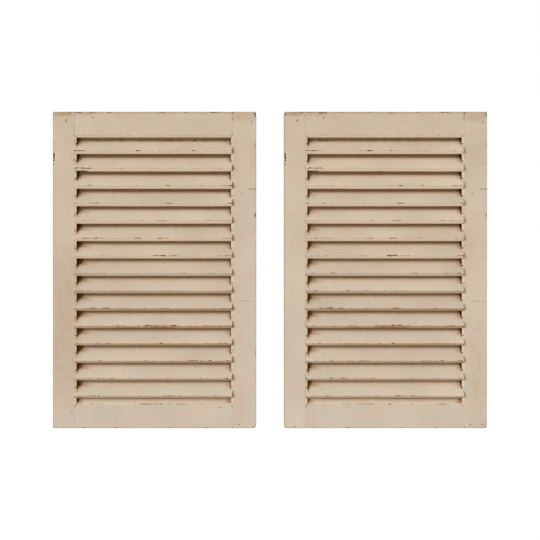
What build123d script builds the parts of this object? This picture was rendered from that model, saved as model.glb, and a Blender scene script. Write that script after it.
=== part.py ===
from build123d import *
import math
import os

# A pair of painted wooden louvred shutters, upright and side by side. The two are built
# alike: two full-height stiles, a top and a bottom rail tenoned between them, and fixed
# slats housed in slanted grooves. X runs to the right, Y from front to back, Z up, in mm.

# One shutter, and the space between the two
SHUTTER_WIDTH = 400.0
SHUTTER_HEIGHT = 623.0
PAIR_SPACING = 55.0

# Frame members, with their widths taken to the shoulder line on the front face
FRAME_THICKNESS = 28.0
LEFT_STILE_WIDTH = 42.6
RIGHT_STILE_WIDTH = 45.4
TOP_RAIL_HEIGHT = 51.0
BOTTOM_RAIL_HEIGHT = 47.5

# Chamfer round the inside of the front face, and easing of the outer arrises
CHAMFER_DEPTH = 2.0
STILE_CHAMFER_WIDTH = 4.4
TOP_CHAMFER_WIDTH = 5.2
BOTTOM_CHAMFER_WIDTH = 6.0
ARRIS_EASING = 0.8
CORNER_RADIUS = 2.0
WORN_CORNER_RADIUS = 5.0

# Slats: tilted boards with the low edge in front, proud of the frame as a square nose
SLAT_TILT = 54.0
SLAT_THICKNESS = 9.5
SLAT_PITCH = 34.3
NOSE_PROUD = 6.0
NOSE_RADIUS = 0.9
SLAT_BACK_INSET = 1.5
LOWEST_NOSE_LIFT = 11.9
TOP_RAIL_ROOM = 25.0

# Through tenons, each tightened by a wedge above it and one below
TENON_THICKNESS = 9.0
TENON_EDGE_DISTANCE = 10.0
TENON_COVER = 4.0
WEDGE_LENGTH = 30.0
WEDGE_HEAD = 4.0
WEDGE_TIP = 0.5

# Brads driven straight back through the chamfer into the housed end of each slat
BRAD_SIDE = 1.6
BRAD_RISE = 15.0
BRAD_SINK = 0.4
BRAD_BITE = 3.0

# Clearances
HOUSING_CLEARANCE = 0.1
SLAT_END_CLEARANCE = 0.2
SHOULDER_GAP = 0.1
MORTISE_CLEARANCE = 0.1
BRAD_CLEARANCE = 0.05
CUT_PAST = 2.0

# Worked out from the sizes above
TILT = math.radians(SLAT_TILT)
OPENING_TOP = SHUTTER_HEIGHT - TOP_RAIL_HEIGHT
TENON_FRONT = (FRAME_THICKNESS - TENON_THICKNESS) / 2
TENON_BACK = TENON_FRONT + TENON_THICKNESS
SLAT_BACK = FRAME_THICKNESS - SLAT_BACK_INSET
LEFT_SHOULDER = LEFT_STILE_WIDTH
RIGHT_SHOULDER = SHUTTER_WIDTH - RIGHT_STILE_WIDTH
RAIL_LENGTH = RIGHT_SHOULDER - LEFT_SHOULDER
NOSE_DROP = SLAT_THICKNESS * math.cos(TILT)

# Planes whose local axes are the shutter's own: seen from the side and from the front
SIDE_PLANE = Plane(origin=(0, 0, 0), x_dir=(0, 1, 0), z_dir=(1, 0, 0))
FRONT_PLANE = Plane(origin=(0, 0, 0), x_dir=(1, 0, 0), z_dir=(0, -1, 0))


def prism(points, plane, start, length):
    """A straight prism: an outline drawn on a plane, raised from start by length."""
    outline = plane.offset(start) * make_face(Polyline(*points, close=True))
    return extrude(outline, amount=length)


def block(low, high):
    """A box between two opposite corners."""
    size = [b - a for a, b in zip(low, high)]
    middle = [(a + b) / 2 for a, b in zip(low, high)]
    return Pos(*middle) * Box(*size)


def bevel_rise(depth):
    """Height gained by a surface parallel to the slats over a depth into the frame."""
    return depth * math.tan(TILT)


def nose_heights():
    """Heights of the slats' nose arrises, from the lowest slat to the highest."""
    heights = []
    nose_bottom = BOTTOM_RAIL_HEIGHT + LOWEST_NOSE_LIFT
    while nose_bottom <= OPENING_TOP - TOP_RAIL_ROOM:
        heights.append(nose_bottom + NOSE_DROP)
        nose_bottom += SLAT_PITCH
    return heights


def slat_outline(nose_height, grow=0.0):
    """Corners of a slat's section, or of its housing when it is grown by a clearance."""
    along_y, along_z = math.cos(TILT), math.sin(TILT)

    def on_face(offset, reach_y=None):
        start_y = -NOSE_PROUD - offset * along_z
        start_z = nose_height + offset * along_y
        run = -grow if reach_y is None else (reach_y - start_y) / along_y
        return (start_y + run * along_y, start_z + run * along_z)

    upper, lower = grow, -(SLAT_THICKNESS + grow)
    back = SLAT_BACK + grow
    return [on_face(upper), on_face(lower), on_face(lower, back), on_face(upper, back)]


def top_rail_outline():
    """Section of the top rail: chamfered low in front, its underside rising to the back."""
    top, low = SHUTTER_HEIGHT, OPENING_TOP
    back_rise = bevel_rise(FRAME_THICKNESS - CHAMFER_DEPTH)
    return [
        (0, low + TOP_CHAMFER_WIDTH),
        (CHAMFER_DEPTH, low),
        (FRAME_THICKNESS, low + back_rise),
        (FRAME_THICKNESS, top - ARRIS_EASING),
        (FRAME_THICKNESS - ARRIS_EASING, top),
        (ARRIS_EASING, top),
        (0, top - ARRIS_EASING),
    ]


def bottom_rail_outline():
    """Section of the bottom rail: chamfered high in front, its top rising to the back."""
    high = BOTTOM_RAIL_HEIGHT
    back_rise = bevel_rise(FRAME_THICKNESS - CHAMFER_DEPTH)
    return [
        (0, high - BOTTOM_CHAMFER_WIDTH),
        (CHAMFER_DEPTH, high),
        (FRAME_THICKNESS, high + back_rise),
        (FRAME_THICKNESS, ARRIS_EASING),
        (FRAME_THICKNESS - ARRIS_EASING, 0),
        (ARRIS_EASING, 0),
        (0, ARRIS_EASING),
    ]


def tenon_heights():
    """Lowest and highest level of the tenons, for the bottom rail and the top rail."""
    bottom_high = BOTTOM_RAIL_HEIGHT + bevel_rise(TENON_FRONT - CHAMFER_DEPTH) - TENON_COVER
    top_low = OPENING_TOP + bevel_rise(TENON_BACK - CHAMFER_DEPTH) + TENON_COVER
    top_high = SHUTTER_HEIGHT - TENON_EDGE_DISTANCE
    return [(TENON_EDGE_DISTANCE, bottom_high), (top_low, top_high)]


def make_rail(outline, tenon):
    """A rail between the stiles' shoulders, with its two through tenons."""
    body = prism(outline, SIDE_PLANE, LEFT_SHOULDER + SHOULDER_GAP, RAIL_LENGTH - 2 * SHOULDER_GAP)
    low, high = tenon
    return body + block((0, TENON_FRONT, low), (SHUTTER_WIDTH, TENON_BACK, high))


def blank_envelope():
    """The closed outer form that the stiles are trimmed to: eased ends, rounded corners."""
    ease, thick, high = ARRIS_EASING, FRAME_THICKNESS, SHUTTER_HEIGHT
    side = [
        (0, ease), (ease, 0), (thick - ease, 0), (thick, ease),
        (thick, high - ease), (thick - ease, high), (ease, high), (0, high - ease),
    ]
    seen_from_side = prism(side, SIDE_PLANE, 0, SHUTTER_WIDTH)
    worn = (SHUTTER_WIDTH, 0, 0)
    front = Rectangle(SHUTTER_WIDTH, high, align=Align.MIN)
    front = fillet(front.vertices().sort_by_distance(worn)[1:], CORNER_RADIUS)
    front = fillet(front.vertices().sort_by_distance(worn)[0], WORN_CORNER_RADIUS)
    return seen_from_side & extrude(FRONT_PLANE.offset(-thick) * front, amount=thick)


def stile_blank(width):
    """A full-height board at the left, with eased outer arrises and the inner chamfer."""
    ease, thick = ARRIS_EASING, FRAME_THICKNESS
    inner = width + STILE_CHAMFER_WIDTH
    plan = [
        (ease, 0), (width, 0), (inner, CHAMFER_DEPTH), (inner, thick),
        (ease, thick), (0, thick - ease), (0, ease),
    ]
    return prism(plan, Plane.XY, 0, SHUTTER_HEIGHT)


def mortise(tenon):
    """Through mortise of a left-hand stile, flared outwards for its two wedges."""
    low, high = tenon[0] - MORTISE_CLEARANCE, tenon[1] + MORTISE_CLEARANCE
    flare = WEDGE_HEAD * (1 + CUT_PAST / WEDGE_LENGTH)
    inner_end = max(LEFT_STILE_WIDTH, RIGHT_STILE_WIDTH) + CUT_PAST
    outline = [
        (-CUT_PAST, low - flare), (WEDGE_LENGTH, low), (inner_end, low),
        (inner_end, high), (WEDGE_LENGTH, high), (-CUT_PAST, high + flare),
    ]
    depth = TENON_THICKNESS + 2 * MORTISE_CLEARANCE
    return prism(outline, FRONT_PLANE, -TENON_BACK - MORTISE_CLEARANCE, depth)


def wedge(level, up):
    """A wedge on the tenon's face at a level, growing away from it where up is 1 or -1."""
    reach = WEDGE_LENGTH * (1 - WEDGE_TIP / WEDGE_HEAD)
    outline = [(0, level), (reach, level), (reach, level + up * WEDGE_TIP), (0, level + up * WEDGE_HEAD)]
    return prism(outline, FRONT_PLANE, -TENON_BACK, TENON_THICKNESS)


def brad_span(nose_height):
    """Depths at which a slat's brads begin and end, behind the front face."""
    head = CHAMFER_DEPTH / 2 + BRAD_SINK
    slat_underside = -NOSE_PROUD + BRAD_RISE / math.tan(TILT) + SLAT_THICKNESS / math.sin(TILT)
    return head, slat_underside + BRAD_BITE


def brad(x, nose_height, grow=0.0, head=None):
    """A square brad beside a slat, or the hole for it when it is grown by a clearance."""
    start, tip = brad_span(nose_height)
    start = start if head is None else head
    half = BRAD_SIDE / 2 + grow
    level = nose_height + BRAD_RISE
    return block((x - half, start, level - half), (x + half, tip + grow, level + half))


def brad_lines():
    """Distances from the shutter's left edge at which the brads go in."""
    middle = STILE_CHAMFER_WIDTH / 2
    return LEFT_SHOULDER + middle, RIGHT_SHOULDER - middle


def make_stile(width, mirrored):
    """A stile with the rails' seats, mortises, slat housings and brad holes cut."""
    housing_depth = STILE_CHAMFER_WIDTH + CUT_PAST
    seats = [prism(o, SIDE_PLANE, width, housing_depth) for o in (top_rail_outline(), bottom_rail_outline())]
    mortises = [mortise(tenon) for tenon in tenon_heights()]
    housings = [
        prism(slat_outline(height, HOUSING_CLEARANCE), SIDE_PLANE, width, housing_depth)
        for height in nose_heights()
    ]
    hole_x = width + STILE_CHAMFER_WIDTH / 2
    holes = [brad(hole_x, height, BRAD_CLEARANCE, head=0) for height in nose_heights()]
    stile = stile_blank(width) - seats - mortises - housings - holes
    if mirrored:
        stile = Pos(SHUTTER_WIDTH, 0, 0) * mirror(stile, about=Plane.YZ)
    return stile & blank_envelope()


def make_slat(nose_height):
    """A slat from housing to housing, with a rounded nose arris and its brad holes."""
    section = make_face(Polyline(*slat_outline(nose_height), close=True))
    nose = section.vertices().sort_by(Axis.X)[0]
    section = fillet(nose, NOSE_RADIUS)
    start = LEFT_SHOULDER + SLAT_END_CLEARANCE
    slat = extrude(SIDE_PLANE.offset(start) * section, amount=RAIL_LENGTH - 2 * SLAT_END_CLEARANCE)
    return slat - [brad(x, nose_height, BRAD_CLEARANCE, head=-NOSE_PROUD) for x in brad_lines()]


def make_wedges():
    """The eight tenon wedges of a shutter, two to each tenon end."""
    left = [wedge(level, up) for tenon in tenon_heights() for level, up in zip(tenon, (-1, 1))]
    right = [Pos(SHUTTER_WIDTH, 0, 0) * mirror(piece, about=Plane.YZ) for piece in left]
    return Compound([piece.solid() for piece in left + right])


def make_brads():
    """The brads of a shutter, one at each end of each slat."""
    return Compound([brad(x, height).solid() for height in nose_heights() for x in brad_lines()])


def make_shutter():
    """All the pieces of one shutter by name, with its lower left front corner at zero."""
    bottom_tenon, top_tenon = tenon_heights()
    pieces = {
        "left_stile": make_stile(LEFT_STILE_WIDTH, mirrored=False),
        "right_stile": make_stile(RIGHT_STILE_WIDTH, mirrored=True),
        "top_rail": make_rail(top_rail_outline(), top_tenon),
        "bottom_rail": make_rail(bottom_rail_outline(), bottom_tenon),
        "tenon_wedges": make_wedges(),
        "slat_brads": make_brads(),
    }
    for number, height in enumerate(reversed(nose_heights()), start=1):
        pieces[f"slat_{number:02d}"] = make_slat(height)
    return pieces


def main():
    """Places the two shutters about the middle of the pair and writes every piece."""
    os.makedirs("parts", exist_ok=True)
    pieces = make_shutter()
    front = pieces["slat_01"].bounding_box().min.Y
    depth_shift = -(front + FRAME_THICKNESS) / 2
    places = {
        "left_shutter": -PAIR_SPACING / 2 - SHUTTER_WIDTH,
        "right_shutter": PAIR_SPACING / 2,
    }
    for shutter, left_edge in places.items():
        for name, piece in pieces.items():
            export_step(Pos(left_edge, depth_shift, 0) * piece, f"parts/{shutter}_{name}.step")


main()
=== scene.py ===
"""A pair of old painted louvred shutters, dressed piece by piece and lit as in a plain white studio."""

import logging
import math
from dataclasses import dataclass, field
from enum import Enum
from typing import Any

import bmesh
import bpy
from mathutils import Matrix, Vector, noise


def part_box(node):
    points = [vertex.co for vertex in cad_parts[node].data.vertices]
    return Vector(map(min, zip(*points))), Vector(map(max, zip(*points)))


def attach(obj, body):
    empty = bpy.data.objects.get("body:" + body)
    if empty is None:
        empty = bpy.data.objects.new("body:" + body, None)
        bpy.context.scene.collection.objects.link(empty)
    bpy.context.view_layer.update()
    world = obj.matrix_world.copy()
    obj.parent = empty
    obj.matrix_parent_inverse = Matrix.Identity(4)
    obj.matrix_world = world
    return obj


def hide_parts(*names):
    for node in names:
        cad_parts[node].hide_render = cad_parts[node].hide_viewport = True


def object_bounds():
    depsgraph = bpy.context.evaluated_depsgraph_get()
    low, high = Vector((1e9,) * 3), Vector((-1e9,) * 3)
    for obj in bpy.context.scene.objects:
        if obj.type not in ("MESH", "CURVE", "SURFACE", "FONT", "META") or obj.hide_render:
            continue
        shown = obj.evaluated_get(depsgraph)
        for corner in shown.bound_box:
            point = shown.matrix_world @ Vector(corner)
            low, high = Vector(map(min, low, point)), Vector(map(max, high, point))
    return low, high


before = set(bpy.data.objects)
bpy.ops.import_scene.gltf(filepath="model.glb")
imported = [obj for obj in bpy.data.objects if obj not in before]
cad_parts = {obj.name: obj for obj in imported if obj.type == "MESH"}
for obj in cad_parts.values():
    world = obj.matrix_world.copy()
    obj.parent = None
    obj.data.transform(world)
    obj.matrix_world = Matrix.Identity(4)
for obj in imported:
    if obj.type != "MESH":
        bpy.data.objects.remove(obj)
CAD_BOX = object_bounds()

LOG = logging.getLogger("shutters")
MM = 0.001
FINISH = "finish"

# In millimetres, as are all sizes below that don't say otherwise
SHUTTER_WIDTH = 400.0
SHUTTER_HEIGHT = 623.0
THICKNESS = 28.0
CHAMFER_DEPTH = 2.0
STILE_CHAMFER = 4.4
TENON_FRONT, TENON_BACK = 9.5, 18.5
CLEARANCE = 0.1
OVERSHOOT = 1.0

Socket = bpy.types.NodeSocket
Tree = bpy.types.NodeTree
Outline = list[tuple[float, float]]


# Small helpers


def linear(hex_colour: str) -> tuple[float, float, float, float]:
    """Turns an sRGB hex colour into the linear colour that a shader takes.

    Args:
        hex_colour: Six hex digits, such as "CFBBA2".

    Returns:
        Red, green, blue and an alpha of 1.
    """
    shares = [int(hex_colour[i:i + 2], 16) / 255 for i in (0, 2, 4)]
    red, green, blue = [c / 12.92 if c <= 0.04045 else ((c + 0.055) / 1.055) ** 2.4 for c in shares]
    return red, green, blue, 1.0


def per_mm(size: float) -> float:
    """The texture scale, in object space metres, of a pattern that repeats every size millimetres."""
    return 1.0 / (size * MM)


def clamp(value: float, low: float = 0.0, high: float = 1.0) -> float:
    """Keeps a value between two limits."""
    return max(low, min(high, value))


def ease(value: float) -> float:
    """Smooth step from 0 to 1."""
    value = clamp(value)
    return value * value * (3 - 2 * value)


def ripple(point: Vector, size: float, seed: float = 0.0) -> float:
    """Smooth noise between about -1 and 1.

    Args:
        point: Place in millimetres.
        size: Size in millimetres of its lumps.
        seed: Moves the pattern elsewhere.

    Returns:
        The noise at that place.
    """
    return noise.noise(point / size + Vector((seed, seed * 0.7, -seed)))


def add_node(tree: Tree, kind: str, inputs: dict[str | int, Any] | None = None,
             **settings: Any) -> bpy.types.Node:
    """Adds a shader node.

    Args:
        tree: The node tree that takes it.
        kind: The node's type, without its leading words.
        inputs: By input name or number, a value or another node's output.
        settings: The node's own properties.

    Returns:
        The node.
    """
    node = tree.nodes.new("ShaderNode" + kind)
    for name, value in settings.items():
        setattr(node, name, value)
    for socket, value in (inputs or {}).items():
        if isinstance(value, Socket):
            tree.links.new(value, node.inputs[socket])
        else:
            node.inputs[socket].default_value = value
    return node


# Finishes


class Grain(Enum):
    """Which way a board's length runs."""

    LEVEL = "level"
    UPRIGHT = "upright"

    def stretch(self, along: float, across: float) -> tuple[float, float, float]:
        """Texture scales for a pattern that is long along the board and fine across it."""
        fine, long = per_mm(across), per_mm(along)
        return (long, fine, fine) if self is Grain.LEVEL else (fine, fine, long)


@dataclass(frozen=True)
class Finish:
    """What a kind of piece looks like.

    Args:
        name: The material's name.
    """

    name: str

    def start(self) -> tuple[bpy.types.Material, Tree, bpy.types.Node, Socket]:
        """Begins the material.

        Returns:
            The material, its tree, its shader and its object coordinates.
        """
        made = bpy.data.materials.new(self.name)
        made.use_nodes = True
        tree = made.node_tree
        coords = add_node(tree, "TexCoord").outputs["Object"]
        return made, tree, tree.nodes["Principled BSDF"], coords


@dataclass(frozen=True)
class OldPaint(Finish):
    """Brushed oil paint over pine, several coats old: matt cream, brittle at the arrises.

    Brush marks and dried lumps break up the sheen. Where it has chipped, an orange older coat
    shows as a rim, and inside that the brown weathered timber. Its brown layers paint real dirt and also
    painted shade, and its tone also paints light and shade.

    Args:
        grain: Which way the board's length runs.
        coat: The top coat, with its low, warm, green, dull and light shades below.
        older_coat: The coat under it.
        timber: The wood, with its dark fibres below.
        grime_and_shade: What dirty paint turns to, and the colour of painted shade.
        packed_dirt_and_shade: What the thickest dirt turns to, and the colour of the deepest painted shade.
        fading_height: Height at which the coat starts to pale towards the lower edge.
        roughness: Of sound paint.
        specular: How strongly clean paint shines.
        dusty: How strongly soiled paint shines.
        bristle: Width of a bristle's mark.
        stroke: Length of a bristle's mark.
        band: Length and width of a whole stroke of the brush.
        fibre: Length and width of the timber's fibres.
        crumb: Size of the small pieces that break off.
        flake: Length and width of the larger pieces that break off.
        blotch: Sizes of the warm, the green and the soiled patches.
        speck: How far apart dark specks lie.
        lump: Size of the dried lumps.
        coat_gone: Levels of loss between which the top coat goes.
        paint_gone: Levels of loss between which all paint goes.
        paint_thickness: Of all coats together.
        lump_height: How high bristle marks and lumps stand.
    """

    grain: Grain
    coat: str = "D2C1AA"
    coat_low: str = "CBC0B1"
    coat_warm: str = "D1BBA7"
    coat_green: str = "CDC1AA"
    coat_dull: str = "B9A184"
    coat_light: str = "EEDDC4"
    older_coat: str = "A87E52"
    timber: str = "73502D"
    timber_dark: str = "402812"
    grime_and_shade: str = "AC8250"
    packed_dirt_and_shade: str = "361C06"
    fading_height: float = 600.0
    roughness: float = 0.58
    specular: float = 0.35
    dusty: float = 0.03
    bristle: float = 1.1
    stroke: float = 80.0
    band: tuple[float, float] = (170.0, 15.0)
    fibre: tuple[float, float] = (30.0, 0.8)
    crumb: float = 2.2
    flake: tuple[float, float] = (9.0, 2.5)
    blotch: tuple[float, float, float] = (26.0, 19.0, 13.0)
    speck: float = 15.0
    lump: float = 3.5
    coat_gone: tuple[float, float] = (1.045, 1.095)
    paint_gone: tuple[float, float] = (1.12, 1.2)
    paint_thickness: float = 0.3
    lump_height: float = 0.06

    def material(self) -> bpy.types.Material:
        """Builds the material.

        Returns:
            A material that reads wear, dirt with painted shade, and tone with painted light and shade from
            each mesh's finish attribute.
        """
        made, tree, shader, coords = self.start()
        finish = add_node(tree, "Attribute", attribute_name=FINISH)
        wear, grime_and_shade, tone = add_node(tree, "SeparateColor", {0: finish.outputs["Color"]}).outputs
        chipped, bare = self._losses(tree, coords, wear)
        strokes, broad = self._brushwork(tree, coords)
        coat = self._coat(tree, coords, grime_and_shade, tone, strokes)

        fibres = add_node(tree, "Mapping", {"Vector": coords, "Scale": self.grain.stretch(*self.fibre)})
        fibres = add_node(tree, "TexNoise", {"Vector": fibres.outputs[0], "Scale": 1.0, "Detail": 4.0})
        wood = add_node(tree, "Mix", {0: fibres.outputs[0], 6: linear(self.timber),
                                      7: linear(self.timber_dark)}, data_type="RGBA")
        colour = add_node(tree, "Mix", {0: chipped, 6: coat, 7: linear(self.older_coat)},
                          data_type="RGBA")
        colour = add_node(tree, "Mix", {0: bare, 6: colour.outputs[2], 7: wood.outputs[2]},
                          data_type="RGBA")
        tree.links.new(colour.outputs[2], shader.inputs["Base Color"])

        sheen = add_node(tree, "MapRange", {"Value": strokes, "To Min": self.roughness - 0.08,
                                            "To Max": self.roughness + 0.12})
        rough = add_node(tree, "Math", {0: chipped, 1: 0.25, 2: sheen.outputs[0]},
                         operation="MULTIPLY_ADD")
        tree.links.new(rough.outputs[0], shader.inputs["Roughness"])
        shader.inputs["IOR"].default_value = 1.5
        shine = add_node(tree, "MapRange", {"Value": grime_and_shade, "From Min": 0.4, "To Min": self.specular,
                                            "To Max": self.dusty})
        tree.links.new(shine.outputs[0], shader.inputs["Specular IOR Level"])
        tree.links.new(self._relief(tree, coords, strokes, broad, chipped), shader.inputs["Normal"])
        return made

    def _losses(self, tree: Tree, coords: Socket, wear: Socket) -> tuple[Socket, Socket]:
        """Breaks the wear up into ragged chips.

        Args:
            tree: The material's tree.
            coords: Object coordinates.
            wear: How far the paint is gone.

        Returns:
            Where the top coat is gone, and where all paint is.
        """
        level = wear
        torn = add_node(tree, "Mapping", {"Vector": coords, "Scale": self.grain.stretch(*self.flake)})
        for place, scale, weight in ((coords, per_mm(self.crumb), 0.55), (torn.outputs[0], 1.0, 0.6)):
            pieces = add_node(tree, "TexNoise", {"Vector": place, "Scale": scale, "Detail": 4.0})
            added = add_node(tree, "Math", {0: pieces.outputs[0], 1: weight, 2: level},
                             operation="MULTIPLY_ADD")
            level = added.outputs[0]
        chipped, bare = [
            add_node(tree, "MapRange", {"Value": level, "From Min": low, "From Max": high},
                     interpolation_type="SMOOTHSTEP").outputs[0]
            for low, high in (self.coat_gone, self.paint_gone)
        ]
        return chipped, bare

    def _brushwork(self, tree: Tree, coords: Socket) -> tuple[Socket, Socket]:
        """Marks of the brush.

        Args:
            tree: The material's tree.
            coords: Object coordinates.

        Returns:
            Bristle marks, and the broader bands of each stroke.
        """
        marks = []
        for along, across in ((self.stroke, self.bristle), self.band):
            laid = add_node(tree, "Mapping", {"Vector": coords, "Scale": self.grain.stretch(along, across)})
            laid = add_node(tree, "TexNoise", {"Vector": laid.outputs[0], "Scale": 1.0, "Detail": 4.0,
                                               "Roughness": 0.6})
            marks.append(laid.outputs[0])
        return marks[0], marks[1]

    def _coat(self, tree: Tree, coords: Socket, grime_and_shade: Socket, tone: Socket, strokes: Socket) -> Socket:
        """Colour of the top coat: uneven cream, paler low down, dulled and dirtied, with painted light and
        shade laid in through tone and the brown layers, and dark specks.

        Args:
            tree: The material's tree.
            coords: Object coordinates.
            grime_and_shade: How dirty the paint is, and how much shade is painted on it.
            tone: Dull at 0, plain at 0.5, pale at 1; it also carries painted light and shade.
            strokes: Bristle marks.

        Returns:
            The colour.
        """
        height = add_node(tree, "SeparateXYZ", {0: coords}).outputs["Z"]
        washed = add_node(tree, "MapRange", {"Value": height, "From Min": self.fading_height * MM,
                                             "From Max": 0.0})
        warm, green, stain = [
            add_node(tree, "TexNoise", {"Vector": coords, "Scale": per_mm(size),
                                        "Detail": detail}).outputs[0]
            for size, detail in zip(self.blotch, (2.0, 1.0, 3.0))
        ]
        darkened = add_node(tree, "Math", {0: stain, 1: 0.3, 2: grime_and_shade}, operation="MULTIPLY_ADD")
        # Fly specks and pinholes, drawn about a millimetre across so that they show
        cells = add_node(tree, "TexVoronoi", {"Vector": coords, "Scale": per_mm(self.speck)})
        chance = add_node(tree, "SeparateColor", {0: cells.outputs["Color"]})
        reach = add_node(tree, "MapRange", {"Value": chance.outputs[0], "From Min": 0.15, "To Max": 0.08})
        speck = add_node(tree, "Math", {0: cells.outputs["Distance"], 1: reach.outputs[0]},
                         operation="LESS_THAN")
        # The tone layers paint random variation and painted light and shade; the two brown layers paint
        # real dirt and painted shade.
        layers = (
            (washed.outputs[0], 0.0, 1.0, self.coat_low),
            (warm, 0.4, 0.7, self.coat_warm),
            (green, 0.45, 0.75, self.coat_green),
            (tone, 0.5, 0.0, self.coat_dull),
            (tone, 0.5, 1.0, self.coat_light),
            (darkened.outputs[0], 0.17, 1.05, self.grime_and_shade),
            (darkened.outputs[0], 0.9, 1.15, self.packed_dirt_and_shade),
            (speck.outputs[0], 0.0, 1.5, self.timber),
        )
        colour: Any = linear(self.coat)
        for source, low, high, layer in layers:
            share = add_node(tree, "MapRange", {"Value": source, "From Min": low, "From Max": high})
            mixed = add_node(tree, "Mix", {0: share.outputs[0], 6: colour, 7: linear(layer)},
                             data_type="RGBA")
            colour = mixed.outputs[2]
        shade = add_node(tree, "MapRange", {"Value": strokes, "From Min": 0.3, "From Max": 0.7,
                                            "To Min": 1.03, "To Max": 0.96})
        lit = add_node(tree, "HueSaturation", {"Color": colour, "Value": shade.outputs[0]})
        return lit.outputs[0]

    def _relief(self, tree: Tree, coords: Socket, strokes: Socket, broad: Socket,
                chipped: Socket) -> Socket:
        """Bump of bristle marks, dried lumps and the broken edge of the paint.

        Args:
            tree: The material's tree.
            coords: Object coordinates.
            strokes: Bristle marks.
            broad: The bands of each stroke.
            chipped: Where the top coat is gone.

        Returns:
            The bent normal.
        """
        lumps = add_node(tree, "TexNoise", {"Vector": coords, "Scale": per_mm(self.lump), "Detail": 2.0})
        height = strokes
        for marks, weight in ((lumps.outputs[0], 2.0), (broad, 3.0)):
            added = add_node(tree, "Math", {0: marks, 1: weight, 2: height}, operation="MULTIPLY_ADD")
            height = added.outputs[0]
        fine = add_node(tree, "Bump", {"Height": height, "Distance": self.lump_height * MM})
        edge = add_node(tree, "Bump", {"Height": chipped, "Distance": self.paint_thickness * MM,
                                       "Normal": fine.outputs[0]}, invert=True)
        return edge.outputs[0]


@dataclass(frozen=True)
class PineEndGrain(Finish):
    """Sawn ends of pine wedges under thin paint: a dull, absorbent, slightly open surface.

    Args:
        thin_paint: The paint that is left.
        bare_end: The wood where the paint has sunk in.
        ring: Width of a growth ring.
        pore: Size of the open pores.
        roughness: Of the whole surface.
        depth: How deep the pores are.
    """

    name: str = "pine_end_grain"
    thin_paint: str = "C6AF90"
    bare_end: str = "8A6A44"
    ring: float = 2.4
    pore: float = 0.7
    roughness: float = 0.75
    depth: float = 0.08

    def material(self) -> bpy.types.Material:
        """Builds the material.

        Returns:
            The material, for the CAD solids of the wedges.
        """
        made, tree, shader, coords = self.start()
        rings = add_node(tree, "TexWave", {"Vector": coords, "Scale": per_mm(self.ring) / 3,
                                           "Distortion": 3.0}, bands_direction="Z")
        pores = add_node(tree, "TexNoise", {"Vector": coords, "Scale": per_mm(self.pore), "Detail": 2.0})
        share = add_node(tree, "Math", {0: rings.outputs["Fac"], 1: 0.6, 2: pores.outputs[0]},
                         operation="MULTIPLY_ADD")
        faded = add_node(tree, "MapRange", {"Value": share.outputs[0], "From Min": 0.45},
                         interpolation_type="SMOOTHSTEP")
        colour = add_node(tree, "Mix", {0: faded.outputs[0], 6: linear(self.thin_paint),
                                        7: linear(self.bare_end)}, data_type="RGBA")
        tree.links.new(colour.outputs[2], shader.inputs["Base Color"])
        shader.inputs["Roughness"].default_value = self.roughness
        relief = add_node(tree, "Bump", {"Height": pores.outputs[0], "Distance": self.depth * MM})
        tree.links.new(relief.outputs[0], shader.inputs["Normal"])
        return made


@dataclass(frozen=True)
class RustedIron(Finish):
    """Cut iron brads gone brown: a dark, rough crust with no bright metal left to see.

    Args:
        crust: The old rust.
        bloom: The looser rust on it.
        grit: Size of its grains.
        roughness: Of the whole surface.
        depth: How high the grains stand.
    """

    name: str = "rusted_iron"
    crust: str = "3A2A1E"
    bloom: str = "6B4526"
    grit: float = 0.4
    roughness: float = 0.85
    depth: float = 0.1

    def material(self) -> bpy.types.Material:
        """Builds the material.

        Returns:
            The material, for the CAD solids of the brads.
        """
        made, tree, shader, coords = self.start()
        grains = add_node(tree, "TexNoise", {"Vector": coords, "Scale": per_mm(self.grit), "Detail": 3.0})
        colour = add_node(tree, "Mix", {0: grains.outputs[0], 6: linear(self.crust),
                                        7: linear(self.bloom)}, data_type="RGBA")
        tree.links.new(colour.outputs[2], shader.inputs["Base Color"])
        shader.inputs["Roughness"].default_value = self.roughness
        relief = add_node(tree, "Bump", {"Height": grains.outputs[0], "Distance": self.depth * MM})
        tree.links.new(relief.outputs[0], shader.inputs["Normal"])
        return made


# Wear, as it lies on each shutter. Places are in millimetres from its lower left corner.


class Loss(Enum):
    """How far the paint is gone. The value is what the wear attribute takes."""

    SCUFFED = 0.46
    WORN = 0.54
    BARE = 0.69


@dataclass(frozen=True)
class Chip:
    """Paint lost along an arris.

    Args:
        start: Where it begins, from the shutter's left edge.
        end: Where it ends.
        loss: How far the paint is gone.
        reach: How far it spreads from the arris.
    """

    start: float
    end: float
    loss: Loss = Loss.WORN
    reach: float = 1.3

    def share(self, x: float, distance: float, ragged: float) -> float:
        """How much of the chip there is at a place.

        Args:
            x: Where along the arris.
            distance: How far from the arris.
            ragged: Noise that widens and narrows the chip.

        Returns:
            1 inside it and 0 outside.
        """
        inside = min(x - self.start, self.end - x) + 1.0
        spread = self.reach * (1.4 + ragged)
        return clamp(inside / 2.0) * ease(1.5 - distance / max(spread, 0.6))


@dataclass(frozen=True)
class Patch:
    """A worn or chipped place on the frame, seen from the front as an oval.

    Args:
        x: Its middle, from the left edge.
        z: Its middle, from the lower edge.
        width: Its size across.
        height: Its size up.
        loss: How far the paint is gone.
        depth: How deep the surface is broken.
    """

    x: float
    z: float
    width: float
    height: float
    loss: Loss = Loss.WORN
    depth: float = 0.2

    def share(self, point: Vector) -> float:
        """How much of the patch there is at a place on the front or on an edge near the front.

        Args:
            point: The place.

        Returns:
            1 inside it and 0 outside.
        """
        if point.y > 6:
            return 0.0
        across, up = (point.x - self.x) / (self.width / 2), (point.z - self.z) / (self.height / 2)
        return ease(1.6 - across ** 4 - up ** 4) * ease((6 - point.y) / 4)


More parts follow.
